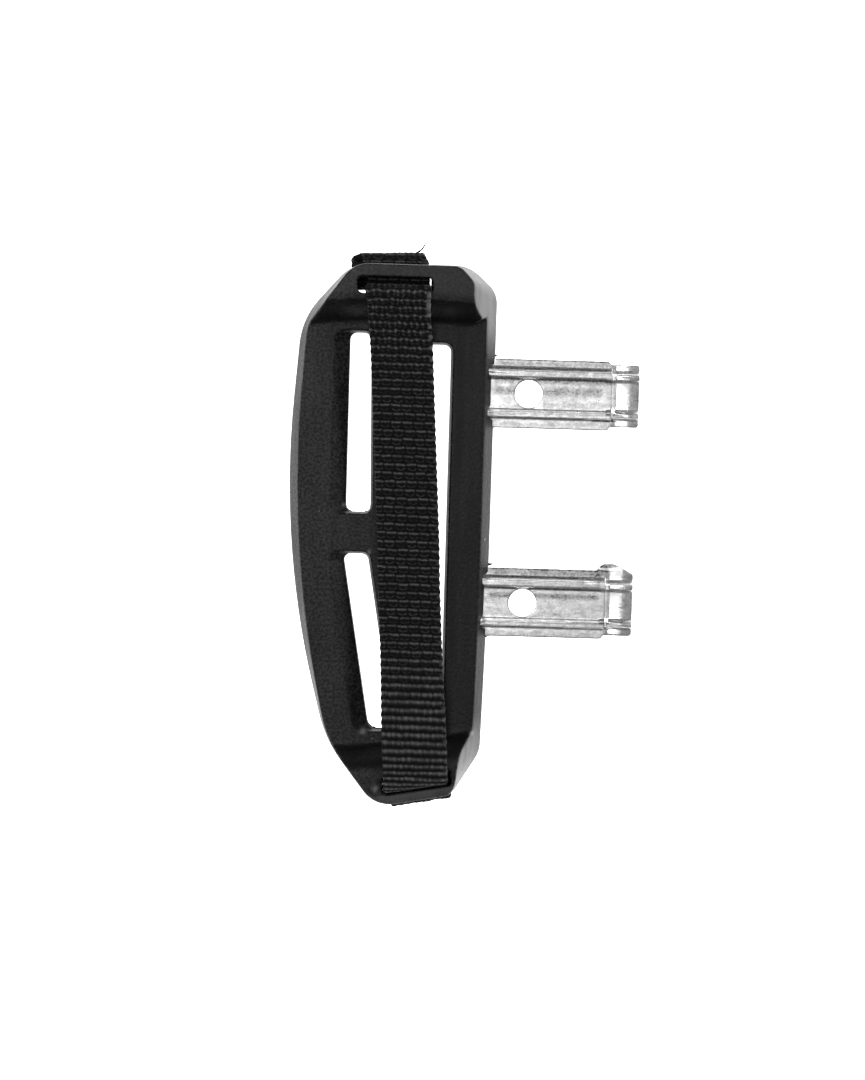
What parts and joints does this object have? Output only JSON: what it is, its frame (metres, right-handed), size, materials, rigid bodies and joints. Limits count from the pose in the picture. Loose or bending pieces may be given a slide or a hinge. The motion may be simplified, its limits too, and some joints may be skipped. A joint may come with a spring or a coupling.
{
  "type": "harness release buckle, tongue half",
  "caption": "Moulded plastic buckle half with webbing slots, a webbing pull strap across its raised ends and pressed steel tongues standing out of one side.",
  "frame": {"origin": "bottom centre of the bounding box, on the plane of the frame's back", "axes": "+X the way the tongues point, +Y up the long side of the frame, +Z out of the face that the strap crosses"},
  "size_m": [0.0696, 0.112, 0.0114],
  "materials": {
    "frame": "fine moulded grain",
    "webbing": "ribbed weave",
    "tongue_steel": "zinc-plated pressing"
  },
  "bodies": {
    "root": {"frame": "frame", "webbing_strap": "webbing", "upper_tongue": "tongue_steel", "lower_tongue": "tongue_steel"}
  },
  "joints": []
}
